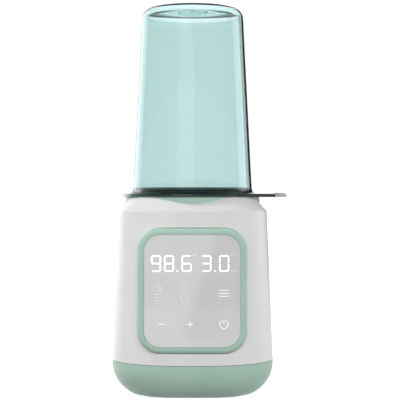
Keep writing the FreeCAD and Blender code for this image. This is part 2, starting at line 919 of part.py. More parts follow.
def hanging_wire(top, end, radius):
    """A wire that drops from its top, crosses over at mid-height and drops to its end."""
    middle_z = (top.z + end.z) / 2
    points = [
        top,
        Vector(top.x, top.y, middle_z + wire_fall),
        Vector(end.x, end.y, middle_z - wire_fall),
        end,
    ]
    return tube(points, wire_bend, radius)


def display_cable():
    """Flat cable from the display board down to the power board."""
    behind = -half_width_at(panel_z) + board_front() + board
    start_z = panel_z - frame_height / 3
    start_y = behind + math.tan(math.radians(lean)) * (start_z - panel_z) + slip
    end_y = -power_board_depth / 2 + front_row / 2
    run_z = board_top_z + cable_height
    out_y = start_y + cable_reach
    points = [
        Vector(0, start_y, start_z),
        Vector(0, out_y, start_z),
        Vector(0, out_y, run_z),
        Vector(0, end_y, run_z),
        Vector(0, end_y, board_top_z),
    ]
    path = Part.Wire(rounded_path(points, [cable_bend] * 3))
    x = cable_width / 2
    z = cable_thickness / 2
    ends = [Vector(-x, start_y, start_z - z), Vector(x, start_y, start_z - z)]
    ends += [Vector(x, start_y, start_z + z), Vector(-x, start_y, start_z + z)]
    section = Part.makePolygon(ends + ends[:1])
    return path.makePipeShell([section], True, True)


# --- Basket and lid -------------------------------------------------------------------------

def bottle_basket():
    """Lift-out basket that stands in the tank on four legs, open through its walls and floor."""
    floor_under = basket_floor_z - basket_wall
    rim_r = basket_outer_r + basket_rim
    rim_under = basket_top_z - basket_wall
    body = lathe([
        (basket_drain_r, floor_under),
        (basket_outer_r, floor_under, basket_wall * 2),
        (basket_outer_r, rim_under),
        (rim_r, rim_under),
        (rim_r, basket_top_z),
        (basket_inner_r, basket_top_z),
        (basket_inner_r, basket_floor_z, basket_wall),
        (basket_drain_r, basket_floor_z),
    ])
    place = (basket_inner_r - basket_leg_r - 1.5 * basket_wall) * math.sqrt(0.5)
    leg_height = floor_under - plate_top_z
    legs = [rod(x, y, plate_top_z, basket_leg_r, leg_height) for x, y in corners(place, place)]
    slot_z = basket_floor_z + basket_slot_margin
    slot_height = rim_under - basket_slot_margin - slot_z
    slot = block(0, basket_inner_r, slot_z, basket_slot_width, 4 * basket_wall, slot_height)
    hole = rod(0, basket_inner_r / 2, 0, basket_hole_r, basket_floor_z)
    cuts = round_about(slot, basket_slots, 0.5) + round_about(hole, basket_holes, 0)
    return join([body] + legs).cut(cuts)


def round_about(shape, count, offset):
    """Evenly spaced copies of a shape about the Z axis, turned on by a share of one step."""
    step = 360 / count
    turns = [step * (index + offset) for index in range(count)]
    return [shape.rotated(Vector(0, 0, 0), Vector(0, 0, 1), turn) for turn in turns]


def lid_dome():
    """Clear tapered lid with a flared foot flange, a pull tab, a vent and a drip rib."""
    flange_top = top_z + lid_flange
    under_top = lid_top_z - lid_wall
    dome = lathe([
        (lid_base_r - lid_wall, top_z),
        (flange_r, top_z, lid_flange / 4),
        (flange_r, flange_top, lid_flange / 4),
        (lid_base_r, flange_top, lid_flare),
        (lid_top_r, lid_top_z, lid_top_round),
        (vent_r, lid_top_z),
        (vent_r, under_top),
        (lid_top_r - lid_wall, under_top, lid_top_round - lid_wall),
    ])
    rib = lathe([
        (drip_rib_r - drip_rib_wall, under_top - drip_rib_depth),
        (drip_rib_r, under_top - drip_rib_depth),
        (drip_rib_r, under_top + thread),
        (drip_rib_r - drip_rib_wall, under_top + thread),
    ])
    return join([dome, rib, tab()])


def tab():
    """Pull tab: the two tangents from the flange to a smaller round tip, with ribs on its end."""
    tip_x = tab_reach - tab_tip_r
    angle = math.acos((flange_r - tab_tip_r) / tip_x)
    toward = Vector(math.cos(angle), math.sin(angle), 0)
    away = Vector(toward.x, -toward.y, 0)
    tip = Vector(tip_x, 0, 0)
    points = [toward * flange_r, tip + toward * tab_tip_r, tip + away * tab_tip_r, away * flange_r]
    wedge = Part.Face(Part.makePolygon(points + points[:1])).extrude(Vector(0, 0, lid_flange))
    wedge = wedge.translated(Vector(0, 0, top_z))
    end = rod(tip_x, 0, top_z, tab_tip_r, lid_flange)
    grip = rod(tip_x, 0, top_z + lid_flange, tab_tip_r - grip_rib_width, grip_rib_height)
    pitch = grip_length / grip_ribs
    bars = []
    for index in range(grip_ribs):
        x = tab_reach - pitch * (index + 1)
        bars.append(block(x, 0, top_z + lid_flange, grip_rib_width, 2 * tab_tip_r, grip_rib_height))
    ribs = grip.common(Part.makeCompound(bars))
    hole = rod(0, 0, top_z, lid_base_r - lid_wall / 2, lid_flange)
    return join([wedge, end] + ribs.Solids).cut(hole)


# --- Output ---------------------------------------------------------------------------------

NODES = (
    main_housing, lower_housing, bottom_cover, rubber_feet, cover_screws, cord_gland,
    collar_ring, collar_seal, water_tank, tank_screws,
    heater_plate, heater_seal, heating_element, heater_clamp, clamp_screws, thermistor, thermal_cutout,
    panel_frame, touch_panel, panel_adhesive, digit_light_box, touch_springs,
    display_board, display_board_screws,
    power_board, power_board_screws, power_relay, power_transformer, power_capacitors,
    terminal_block, fuse, buzzer, heater_wires, display_cable,
    bottle_basket, lid_dome,
)


def main():
    """Write one STEP file for each piece or group of like pieces, named after its function."""
    os.makedirs("parts", exist_ok=True)
    for build in NODES:
        shape = build()
        if isinstance(shape, list):
            shape = Part.makeCompound(shape)
        shape.exportStep(f"parts/{build.__name__}.step")
        print(build.__name__, len(shape.Solids), round(shape.Volume, 1), shape.isValid())


main()
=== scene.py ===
"""Studio scene of a baby bottle warmer: the assembled frame is dressed, marked and lit.

Metres. +Z is up, the front with the touch panel faces -Y, and the lid's pull tab points to +X.
"""
import logging
import math
from abc import ABC, abstractmethod
from collections.abc import Iterable, Sequence
from dataclasses import dataclass
from enum import Enum

import bmesh
import bpy
from mathutils import Matrix, Vector


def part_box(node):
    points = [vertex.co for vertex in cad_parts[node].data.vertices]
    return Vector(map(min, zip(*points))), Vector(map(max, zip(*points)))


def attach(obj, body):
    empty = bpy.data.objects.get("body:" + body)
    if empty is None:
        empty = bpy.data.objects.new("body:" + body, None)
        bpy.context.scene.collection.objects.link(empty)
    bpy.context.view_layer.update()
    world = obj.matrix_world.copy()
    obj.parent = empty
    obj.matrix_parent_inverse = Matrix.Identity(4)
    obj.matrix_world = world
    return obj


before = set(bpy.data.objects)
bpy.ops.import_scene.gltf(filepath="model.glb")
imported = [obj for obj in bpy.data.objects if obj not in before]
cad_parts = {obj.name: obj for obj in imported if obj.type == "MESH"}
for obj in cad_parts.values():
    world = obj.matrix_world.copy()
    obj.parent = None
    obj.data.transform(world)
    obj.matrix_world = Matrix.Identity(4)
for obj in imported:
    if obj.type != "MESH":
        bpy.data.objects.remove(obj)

LOG = logging.getLogger("bottle_warmer")
MM = 0.001
FULL_TURN = (0, 360)
HALF_TURN = (0, 180)
FINE_DETAIL = 3.0     # layers in a moulded or plated grain
PATCHY_DETAIL = 4.0   # layers in dust, stains and handling marks
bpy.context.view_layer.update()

Point = tuple[float, float]
Line = tuple[Point, Point]
Colour = tuple[float, float, float, float]
Tree = bpy.types.ShaderNodeTree
Node = bpy.types.ShaderNode
Socket = bpy.types.NodeSocket


class Body(Enum):
    """The bodies that pieces ride on."""

    BASE = "base_unit"
    BASKET = "basket"
    LID = "lid"


# --- Small tools ----------------------------------------------------------------------------

def linear(hex_colour: str) -> Colour:
    """Turn an sRGB hex colour into a linear colour.

    Args:
        hex_colour: Six hex digits with a leading hash.

    Returns:
        Linear red, green and blue with an alpha of 1.
    """
    channels = [int(hex_colour[place:place + 2], 16) / 255 for place in (1, 3, 5)]
    straight = [c / 12.92 if c <= 0.04045 else ((c + 0.055) / 1.055) ** 2.4 for c in channels]
    return (straight[0], straight[1], straight[2], 1.0)


def add_node(
    tree: Tree,
    kind: str,
    values: dict[str, object] | None = None,
    links: dict[str, Socket] | None = None,
    **settings: object,
) -> Node:
    """Add one shader node with its settings, socket values and incoming links.

    Args:
        tree: The node tree that takes the node.
        kind: The node's Blender type name.
        values: Input socket names and the values set on them.
        links: Input socket names and the output sockets that feed them.
        **settings: Properties of the node itself.

    Returns:
        The new node.
    """
    node = tree.nodes.new(kind)
    for name, value in settings.items():
        setattr(node, name, value)
    for name, value in (values or {}).items():
        node.inputs[name].default_value = value
    for name, source in (links or {}).items():
        tree.links.new(source, node.inputs[name])
    return node


def object_place(tree: Tree) -> Socket:
    """The point's place in metres in the object's own frame."""
    return add_node(tree, "ShaderNodeTexCoord").outputs["Object"]


def noise(tree: Tree, size_mm: float, detail: float = 2.0) -> Socket:
    """A soft random pattern.

    Args:
        tree: The node tree.
        size_mm: Size of the pattern's features.
        detail: Number of finer layers.

    Returns:
        The pattern's value, from 0 to 1.
    """
    values = {"Scale": 1 / (size_mm * MM), "Detail": detail}
    return add_node(tree, "ShaderNodeTexNoise", values, {"Vector": object_place(tree)}).outputs["Fac"]


def spread(tree: Tree, source: Socket, low: float, high: float) -> Socket:
    """Map the middle of a 0 to 1 pattern onto a range.

    Args:
        tree: The node tree.
        source: The pattern.
        low: Result where the pattern is low.
        high: Result where the pattern is high.

    Returns:
        The mapped value.
    """
    values = {"From Min": 0.3, "From Max": 0.7, "To Min": low, "To Max": high}
    return add_node(tree, "ShaderNodeMapRange", values, {"Value": source}).outputs["Result"]


def blend_colours(tree: Tree, factor: Socket, first: Colour, second: Colour) -> Socket:
    """Mix two colours by a pattern.

    Args:
        tree: The node tree.
        factor: The pattern, 0 for the first colour and 1 for the second.
        first: The first colour.
        second: The second colour.

    Returns:
        The mixed colour.
    """
    mix = add_node(tree, "ShaderNodeMixRGB", {"Color1": first, "Color2": second}, {"Fac": factor})
    return mix.outputs["Color"]


def bump(tree: Tree, height: Socket, depth_mm: float) -> Socket:
    """A bumped normal from a height pattern of the given full depth."""
    values = {"Strength": 1.0, "Distance": depth_mm * MM}
    return add_node(tree, "ShaderNodeBump", values, {"Height": height}).outputs["Normal"]


# --- Finishes -------------------------------------------------------------------------------

@dataclass(frozen=True)
class Finish(ABC):
    """What a surface is made of and how it was finished."""

    name: str

    @abstractmethod
    def build(self, tree: Tree, shader: Node) -> None:
        """Set up the material's nodes around its main shader."""

    def material(self) -> bpy.types.Material:
        """The finish's material, made once and shared.

        Returns:
            The material.
        """
        found = bpy.data.materials.get(self.name)
        if found:
            return found
        material = bpy.data.materials.new(self.name)
        material.use_nodes = True
        tree = material.node_tree
        self.build(tree, tree.nodes["Principled BSDF"])
        return material


@dataclass(frozen=True)
class MouldedPlastic(Finish):
    """Injection-moulded ABS or polypropylene with a spark-eroded texture.

    Typical IOR 1.49 to 1.54, metallic 0, roughness 0.2 to 0.6. The mould's texture softens the
    highlight, and slow changes of shade show how the plastic flowed. The real texture is about
    0.2 mm, too fine to show, so it is drawn 0.7 mm and coarser.
    """

    colour: str
    flow_colour: str
    roughness: float
    grain_mm: float = 0.7
    grain_depth_mm: float = 0.01
    ior: float = 1.52
    flow_mm: float = 45.0
    patch_mm: float = 4.0
    patch_range: float = 0.03
    specular: float = 0.5

    def build(self, tree: Tree, shader: Node) -> None:
        """Colour from slow flow marks, roughness from fine patches, bump from the mould's grain.

        Args:
            tree: The material's nodes.
            shader: Its main shader.
        """
        flow = spread(tree, noise(tree, self.flow_mm), 0.0, 1.0)
        colour = blend_colours(tree, flow, linear(self.colour), linear(self.flow_colour))
        smooth, rough = self.roughness - self.patch_range, self.roughness + self.patch_range
        patches = spread(tree, noise(tree, self.patch_mm), smooth, rough)
        normal = bump(tree, noise(tree, self.grain_mm, FINE_DETAIL), self.grain_depth_mm)
        shader.inputs["IOR"].default_value = self.ior
        shader.inputs["Specular IOR Level"].default_value = self.specular
        tree.links.new(colour, shader.inputs["Base Color"])
        tree.links.new(patches, shader.inputs["Roughness"])
        tree.links.new(normal, shader.inputs["Normal"])


@dataclass(frozen=True)
class ClearPlastic(Finish):
    """Polished clear SAN, lightly dyed, or glass.

    Typical IOR 1.49 to 1.57, metallic 0, roughness near 0. The dye is in the plastic, so a wall seen
    flat on is pale and one seen along its length is dark. Fine handling marks soften the gloss. A grip
    that the mould has frosted, beyond a place along +X, is rough and milky.
    """

    dye: str
    dye_density: float
    roughness: float = 0.02
    ior: float = 1.5
    wave_mm: float = 30.0
    wave_depth_mm: float = 0.02
    mark_mm: float = 6.0
    frost_from_mm: float | None = None
    frost_edge_mm: float = 0.5
    frost_roughness: float = 0.5
    frost_clarity: float = 0.6

    def build(self, tree: Tree, shader: Node) -> None:
        """Clear surface with slow moulding waves over a dyed, absorbing volume.

        Args:
            tree: The material's nodes.
            shader: Its main shader.
        """
        shader.inputs["Base Color"].default_value = linear("#ffffff")
        shader.inputs["Transmission Weight"].default_value = 1.0
        shader.inputs["IOR"].default_value = self.ior
        handled = noise(tree, self.mark_mm, PATCHY_DETAIL)
        marks = spread(tree, handled, self.roughness * 0.5, self.roughness * 1.5)
        tree.links.new(marks, shader.inputs["Roughness"])
        if self.frost_from_mm is not None:
            self.add_frost(tree, shader, marks, self.frost_from_mm * MM)
        normal = bump(tree, noise(tree, self.wave_mm, 1.0), self.wave_depth_mm)
        tree.links.new(normal, shader.inputs["Normal"])
        values = {"Color": linear(self.dye), "Density": self.dye_density}
        volume = add_node(tree, "ShaderNodeVolumeAbsorption", values)
        output = tree.nodes["Material Output"]
        tree.links.new(volume.outputs["Volume"], output.inputs["Volume"])

    def add_frost(self, tree: Tree, shader: Node, marks: Socket, start: float) -> None:
        """Make the surface rough and milky beyond a place along +X.

        Args:
            tree: The material's nodes.
            shader: Its main shader.
            marks: The roughness of the clear surface.
            start: Where the frosting is full, in metres.
        """
        axes = add_node(tree, "ShaderNodeSeparateXYZ", None, {"Vector": object_place(tree)})
        edge = {
            "From Min": start - self.frost_edge_mm * MM,
            "From Max": start,
            "To Max": self.frost_roughness,
        }
        frost = add_node(tree, "ShaderNodeMapRange", edge, {"Value": axes.outputs["X"]}).outputs["Result"]
        rough = add_node(tree, "ShaderNodeMath", None, {"Value": marks}, operation="MAXIMUM")
        tree.links.new(frost, rough.inputs[1])
        tree.links.new(rough.outputs["Value"], shader.inputs["Roughness"])
        milk = {"From Max": self.frost_roughness, "To Min": 1.0, "To Max": self.frost_clarity}
        clear = add_node(tree, "ShaderNodeMapRange", milk, {"Value": frost})
        tree.links.new(clear.outputs["Result"], shader.inputs["Transmission Weight"])


@dataclass(frozen=True)
class GlossPanel(Finish):
    """Back-printed acrylic: a pale print under a clear polished layer.

    Typical IOR 1.49, metallic 0, roughness under 0.1. The coat carries the sharp reflection and the
    print below is even.
    """

    colour: str
    shade: str
    ior: float = 1.49
    cloud_mm: float = 35.0
    haze_mm: float = 3.0
    haze: Point = (0.03, 0.06)
    coat: float = 0.6
    coat_roughness: float = 0.02

    def build(self, tree: Tree, shader: Node) -> None:
        """Even print with a faint cloud, under a smooth clear coat.

        Args:
            tree: The material's nodes.
            shader: Its main shader.
        """
        cloud = spread(tree, noise(tree, self.cloud_mm), 0.0, 1.0)
        colour = blend_colours(tree, cloud, linear(self.colour), linear(self.shade))
        tree.links.new(colour, shader.inputs["Base Color"])
        haze = spread(tree, noise(tree, self.haze_mm, PATCHY_DETAIL), *self.haze)
        tree.links.new(haze, shader.inputs["Roughness"])
        shader.inputs["IOR"].default_value = self.ior
        shader.inputs["Coat Weight"].default_value = self.coat
        shader.inputs["Coat Roughness"].default_value = self.coat_roughness


@dataclass(frozen=True)
class LitPrint(Finish):
    """Light that shines out through a clear window in the print.

    Lit marks are brighter than the print round them and have no texture of their own, only the
    slight unevenness of the diffuser behind them, about 2 mm across.
    """

    colour: str
    strength: float
    dim_colour: str = "#e8ecec"
    diffuser_mm: float = 2.0
    evenness: float = 0.94
    roughness: float = 0.25

    def build(self, tree: Tree, shader: Node) -> None:
        """White diffuse base with a soft glow.

        Args:
            tree: The material's nodes.
            shader: Its main shader.
        """
        glow = spread(tree, noise(tree, self.diffuser_mm), self.evenness, 1.0)
        colour = blend_colours(tree, glow, linear(self.dim_colour), linear(self.colour))
        tree.links.new(colour, shader.inputs["Base Color"])
        tree.links.new(colour, shader.inputs["Emission Color"])
        shader.inputs["Emission Strength"].default_value = self.strength
        shader.inputs["Roughness"].default_value = self.roughness


@dataclass(frozen=True)
class Elastomer(Finish):
    """Moulded rubber or silicone.

    Typical IOR 1.4 to 1.52, metallic 0, roughness 0.5 to 0.8. A dull skin with fine dusty patches.
    """

    colour: str
    dust: str
    roughness: float
    ior: float = 1.43
    dust_mm: float = 5.0
    rough_mm: float = 2.0
    rough_range: float = 0.06
    grain_mm: float = 0.8
    grain_depth_mm: float = 0.03

    def build(self, tree: Tree, shader: Node) -> None:
        """Dull skin with dust in patches and a fine grain.

        Args:
            tree: The material's nodes.
            shader: Its main shader.
        """
        patches = spread(tree, noise(tree, self.dust_mm, PATCHY_DETAIL), 0.0, 1.0)
        colour = blend_colours(tree, patches, linear(self.colour), linear(self.dust))
        tree.links.new(colour, shader.inputs["Base Color"])
        low, high = self.roughness - self.rough_range, self.roughness + self.rough_range
        tree.links.new(spread(tree, noise(tree, self.rough_mm), low, high), shader.inputs["Roughness"])
        grain = noise(tree, self.grain_mm, FINE_DETAIL)
        tree.links.new(bump(tree, grain, self.grain_depth_mm), shader.inputs["Normal"])
        shader.inputs["IOR"].default_value = self.ior


class Lay(Enum):
    """Which way a metal's working marks run."""

    CIRCLES = "rings about the Z axis"
    STREAKS = "straight along X"
    NONE = "plated grain with no direction"


@dataclass(frozen=True)
class WorkedMetal(Finish):
    """Sheet, turned or plated metal.

    Metallic 1 with the default IOR, roughness 0.3 to 0.4. Turned and drawn metal carries marks 0.3 to
    0.5 mm apart, drawn here coarser so that they show; plating has a soft, directionless grain.
    """

    colour: str
    stain: str
    roughness: float
    lay: Lay = Lay.NONE
    mark_mm: float = 1.0
    mark_depth_mm: float = 0.02
    stain_mm: float = 9.0
    rough_mm: float = 3.0
    rough_range: float = 0.06
    wave_spread: float = 20.0
    wander: float = 1.5

    def build(self, tree: Tree, shader: Node) -> None:
        """Metal with working marks in its bump and stains in its colour and roughness.

        Args:
            tree: The material's nodes.
            shader: Its main shader.
        """
        stains = spread(tree, noise(tree, self.stain_mm, PATCHY_DETAIL), 0.0, 1.0)
        colour = blend_colours(tree, stains, linear(self.colour), linear(self.stain))
        tree.links.new(colour, shader.inputs["Base Color"])
        shader.inputs["Metallic"].default_value = 1.0
        low, high = self.roughness - self.rough_range, self.roughness + self.rough_range
        tree.links.new(spread(tree, noise(tree, self.rough_mm), low, high), shader.inputs["Roughness"])
        tree.links.new(bump(tree, self.marks(tree), self.mark_depth_mm), shader.inputs["Normal"])

    def marks(self, tree: Tree) -> Socket:
        """The height pattern of the working marks.

        Args:
            tree: The material's nodes.

        Returns:
            The pattern, from 0 to 1.
        """
        if self.lay is Lay.NONE:
            return noise(tree, self.mark_mm, FINE_DETAIL)
        ringed = self.lay is Lay.CIRCLES
        scale = 1 / (self.mark_mm * MM * self.wave_spread)
        wave = add_node(
            tree,
            "ShaderNodeTexWave",
            {"Scale": scale, "Distortion": self.wander, "Detail": 2.0},
            {"Vector": object_place(tree)},
            wave_type="RINGS" if ringed else "BANDS",
            rings_direction="Z",
            bands_direction="Y",
        )
        return wave.outputs["Fac"]


@dataclass(frozen=True)
class CircuitBoard(Finish):
    """Glass-epoxy board under green solder mask.

    Typical IOR 1.55, metallic 0, roughness 0.35. Copper tracks show through the mask as paler lines.
    """

    mask: str
    track: str
    row_mm: float = 9.6
    track_share: float = 0.03
    track_turn: float = 45.0
    track_height_mm: float = 0.04
    gloss_mm: float = 4.0
    gloss: Point = (0.3, 0.42)
    ior: float = 1.55

    def build(self, tree: Tree, shader: Node) -> None:
        """Tracks from a brick pattern, with the mask's gloss over them.

        Args:
            tree: The material's nodes.
            shader: Its main shader.
        """
        turn = {"Rotation": (0.0, 0.0, math.radians(self.track_turn))}
        turned = add_node(tree, "ShaderNodeMapping", turn, {"Vector": object_place(tree)})
        brick = add_node(
            tree,
            "ShaderNodeTexBrick",
            {
                "Color1": linear(self.mask),
                "Color2": linear(self.mask),
                "Mortar": linear(self.track),
                "Scale": 1 / (self.row_mm * MM),
                "Mortar Size": self.track_share,
            },
            {"Vector": turned.outputs["Vector"]},
        )
        tree.links.new(brick.outputs["Color"], shader.inputs["Base Color"])
        tree.links.new(spread(tree, noise(tree, self.gloss_mm), *self.gloss), shader.inputs["Roughness"])
        tree.links.new(bump(tree, brick.outputs["Fac"], self.track_height_mm), shader.inputs["Normal"])
        shader.inputs["IOR"].default_value = self.ior


# Lit vinyl sheet: an even white with no edge.
FLOOR_VINYL = LitPrint("pale_lit_floor", "#fdfdfd", 0.8)
# Black wool cloth: swallows light, so that its reflection draws a dark line.
FLAG_CLOTH = Elastomer("black_flag_cloth", "#0c0d0d", "#101212", 0.9)
# Satin-moulded ABS, warm white: soft wide highlights on the rounded corners.
WHITE_ABS = MouldedPlastic("white_abs_satin_moulded", "#e9e9e8", "#e5e5e5", 0.34)
# The same moulding in mint, a little duller, so that its edges stay green and don't flare.
MINT_ABS = MouldedPlastic("mint_abs_satin_moulded", "#b3d2c3", "#aecebe", 0.38, specular=0.2)
# Textured ABS under the base, 1.2 mm grain: dull and darker than the cup.
BASE_ABS = MouldedPlastic("mint_abs_textured_moulded", "#93ad9f", "#8da899", 0.5, 1.2, 0.05)
# Glossy polypropylene: a near-black rim with a wet look.
DARK_PP = MouldedPlastic("charcoal_polypropylene_glossy", "#0e0f10", "#131415", 0.2, 2.0, 0.004, 1.49)
# Fine-textured polypropylene: pale and slightly waxy.
BASKET_PP = MouldedPlastic("pale_polypropylene_textured", "#d5dcda", "#cdd6d3", 0.42, 1.0, 0.03)
# Polished SAN dyed aqua: clear face, deep edges, and a frosted grip at the tab's end.
CLEAR_SAN = ClearPlastic("aqua_san_polished", "#1bbeba", 160.0, frost_from_mm=63.5)
# Acrylic printed grey on its back: a flat even grey with a sharp reflection.
PANEL_ACRYLIC = GlossPanel("grey_acrylic_back_printed", "#dadada", "#d7d7d7")
# Light through clear windows: bright digits, softer keys and barely lit mode marks.
LIT_WHITE = LitPrint("white_lit_print", "#ffffff", 0.75)
KEY_PRINT = LitPrint("white_key_print", "#ffffff", 0.3)
FAINT_PRINT = LitPrint("faint_grey_print", "#e2e4e4", 0.2)
# Moulded EPDM: dull black with grey dust.
BLACK_RUBBER = Elastomer("black_epdm_moulded", "#222424", "#303232", 0.68)
# Moulded silicone: soft milky grey for seals, and a red sleeve on the heater's wires.
CLEAR_SILICONE = Elastomer("grey_silicone_moulded", "#b9bfbc", "#aeb5b2", 0.5)
WIRE_SILICONE = Elastomer("red_silicone_sleeve", "#a8342a", "#9a2f27", 0.48)
# Zinc plate: cool grey with a soft sparkle.
ZINC = WorkedMetal("zinc_plated_steel", "#c9ccce", "#b4b9bd", 0.32)
# Turned aluminium: bright, with rings about its axis.
ALUMINIUM = WorkedMetal("turned_aluminium", "#d6d8da", "#c6c9cc", 0.3, Lay.CIRCLES)
# Drawn stainless steel: warmer and darker, with straight streaks.
STAINLESS = WorkedMetal("drawn_stainless_steel", "#b8b6b1", "#a29f99", 0.36, Lay.STREAKS)
# Green solder mask over copper: paler lines on a glossy board.
BOARD = CircuitBoard("green_solder_mask", "#1c5b33", "#3a8a54")
# Moulded epoxy: matt black component bodies.
BLACK_EPOXY = MouldedPlastic("black_epoxy_moulded", "#1b1c1d", "#242526", 0.45, 0.8, 0.02)
# Moulded PBT: the relay's clean blue case.
BLUE_PBT = MouldedPlastic("blue_pbt_moulded", "#27539b", "#224b8e", 0.3)
# Sintered ferrite: a dry, stony dark grey.
FERRITE = MouldedPlastic("sintered_ferrite", "#33363a", "#3d4044", 0.6, 0.9, 0.04)
# Moulded nylon: a mid-green terminal block with a soft shine.
GREEN_NYLON = MouldedPlastic("green_nylon_moulded", "#2f8a4a", "#2a7f43", 0.38)
# White reflector-grade ABS: matt and bright, to throw the digits' light forward.
REFLECTOR = MouldedPlastic("white_reflector_moulded", "#f0f0ee", "#eaeae8", 0.5)
# Foam tape: almost black with no shine.
FOAM_TAPE = Elastomer("black_foam_tape", "#1c1c1c", "#282828", 0.85)
# Extruded PVC ribbon: plain grey, slightly shiny.
FLAT_CABLE = MouldedPlastic("grey_pvc_ribbon", "#b6b6b4", "#a9a9a7", 0.45)
# Drawn glass tube: almost colourless.
FUSE_GLASS = ClearPlastic("clear_fuse_glass", "#e8f4f2", 20.0)


# --- Pieces ---------------------------------------------------------------------------------

def dress(finishes: dict[str, Finish]) -> None:
    """Give CAD nodes their finishes.

    Args:
        finishes: Node names and the finish of each.
    """
    for name, finish in finishes.items():
        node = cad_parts[name]
        node.data.materials.clear()
        node.data.materials.append(finish.material())
        LOG.info("dressed %s in %s", name, finish.name)


def mesh_object(name: str, mesh: bmesh.types.BMesh, finish: Finish) -> bpy.types.Object:
    """Turn a bmesh into an object of the scene.

    Args:
        name: The object's name.
        mesh: Its geometry. It is freed.
        finish: Its finish.

    Returns:
        The new object.
    """
    data = bpy.data.meshes.new(name)
    mesh.to_mesh(data)
    mesh.free()
    data.materials.append(finish.material())
    made = bpy.data.objects.new(name, data)
    bpy.context.scene.collection.objects.link(made)
    return made


def add_piece(
    name: str, mesh: bmesh.types.BMesh, body: Body, finish: Finish
) -> bpy.types.Object:
    """Turn a bmesh into a piece that rides on a body.

    Args:
        name: The piece's name.
        mesh: Its geometry in the frame's metres.
        body: The body that it rides on.
        finish: Its finish.

    Returns:
        The new object.
    """
    bmesh.ops.recalc_face_normals(mesh, faces=mesh.faces)
    piece = mesh_object(name, mesh, finish)
    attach(piece, body.value)
    LOG.info("made %s: %d faces", name, len(piece.data.polygons))
    return piece


class Sign:
    """Flat marks with a little thickness, drawn on the plane of the touch panel in millimetres."""

    cap_steps = 8
    arc_step = 9.0
    fewest_arc_steps = 8

    def __init__(self, thickness_mm: float) -> None:
        """Start with no marks, and with the thickness that all of them will have."""
        self.mesh = bmesh.new()
        self.thickness_mm = thickness_mm

    def polygon(self, outline: Sequence[Point]) -> None:
        """Add a filled shape as a thin closed slab.

        Args:
            outline: Its corners, right and up from the middle of the panel.
        """
        back = [self.mesh.verts.new((x * MM, 0.0, z * MM)) for x, z in outline]
        front = [self.mesh.verts.new((x * MM, -self.thickness_mm * MM, z * MM)) for x, z in outline]
        self.mesh.faces.new(front)
        self.mesh.faces.new(back[::-1])
        for index in range(len(outline)):
            after = (index + 1) % len(outline)
            self.mesh.faces.new((front[index], back[index], back[after], front[after]))

    def bar(self, start: Point, end: Point, stroke: float) -> None:
        """Add a straight stroke with round ends.

        Args:
            start: Centre of its first end.
            end: Centre of its last end.
            stroke: Its width.
        """
        along = math.atan2(end[1] - start[1], end[0] - start[0])
        outline: list[Point] = []
        for centre, middle in ((end, along), (start, along + math.pi)):
            for step in range(self.cap_steps + 1):
                angle = middle - math.pi / 2 + step * math.pi / self.cap_steps
                outline.append(
                    (centre[0] + stroke / 2 * math.cos(angle), centre[1] + stroke / 2 * math.sin(angle))
                )
        self.polygon(outline)

    def arc(self, centre: Point, radius: Point, start: float, end: float, stroke: float) -> None:
        """Add a curved stroke.

        Args:
            centre: Centre of the curve.
            radius: Its radii across and up, to the middle of the stroke.
            start: First angle in degrees, counted from the right.
            end: Last angle in degrees.
            stroke: Its width.
        """
        steps = max(self.fewest_arc_steps, int(abs(end - start) / self.arc_step))
        closed = abs(end - start) >= 360
        rims: list[list[bmesh.types.BMVert]] = []
        for step in range(steps if closed else steps + 1):
            angle = math.radians(start + (end - start) * step / steps)
            rim = []
            for side, depth in ((1, 0.0), (1, -1.0), (-1, -1.0), (-1, 0.0)):
                x = centre[0] + (radius[0] + side * stroke / 2) * math.cos(angle)
                z = centre[1] + (radius[1] + side * stroke / 2) * math.sin(angle)
                rim.append(self.mesh.verts.new((x * MM, depth * self.thickness_mm * MM, z * MM)))
            rims.append(rim)
        pairs = list(zip(rims, rims[1:])) + ([(rims[-1], rims[0])] if closed else [])
        for first, second in pairs:
            for index in range(4):
                after = (index + 1) % 4
                self.mesh.faces.new((first[index], first[after], second[after], second[index]))
        if not closed:
            self.mesh.faces.new(rims[0][::-1])
            self.mesh.faces.new(rims[-1])


class Segment(Enum):
    """The seven bars of a digit."""

    TOP = "a"
    UPPER_RIGHT = "b"
    LOWER_RIGHT = "c"
    BOTTOM = "d"
    LOWER_LEFT = "e"
    UPPER_LEFT = "f"
    MIDDLE = "g"


LIT_SEGMENTS = {"9": "abcdfg", "8": "abcdefg", "6": "acdefg", "3": "abcdg", "0": "abcdef"}


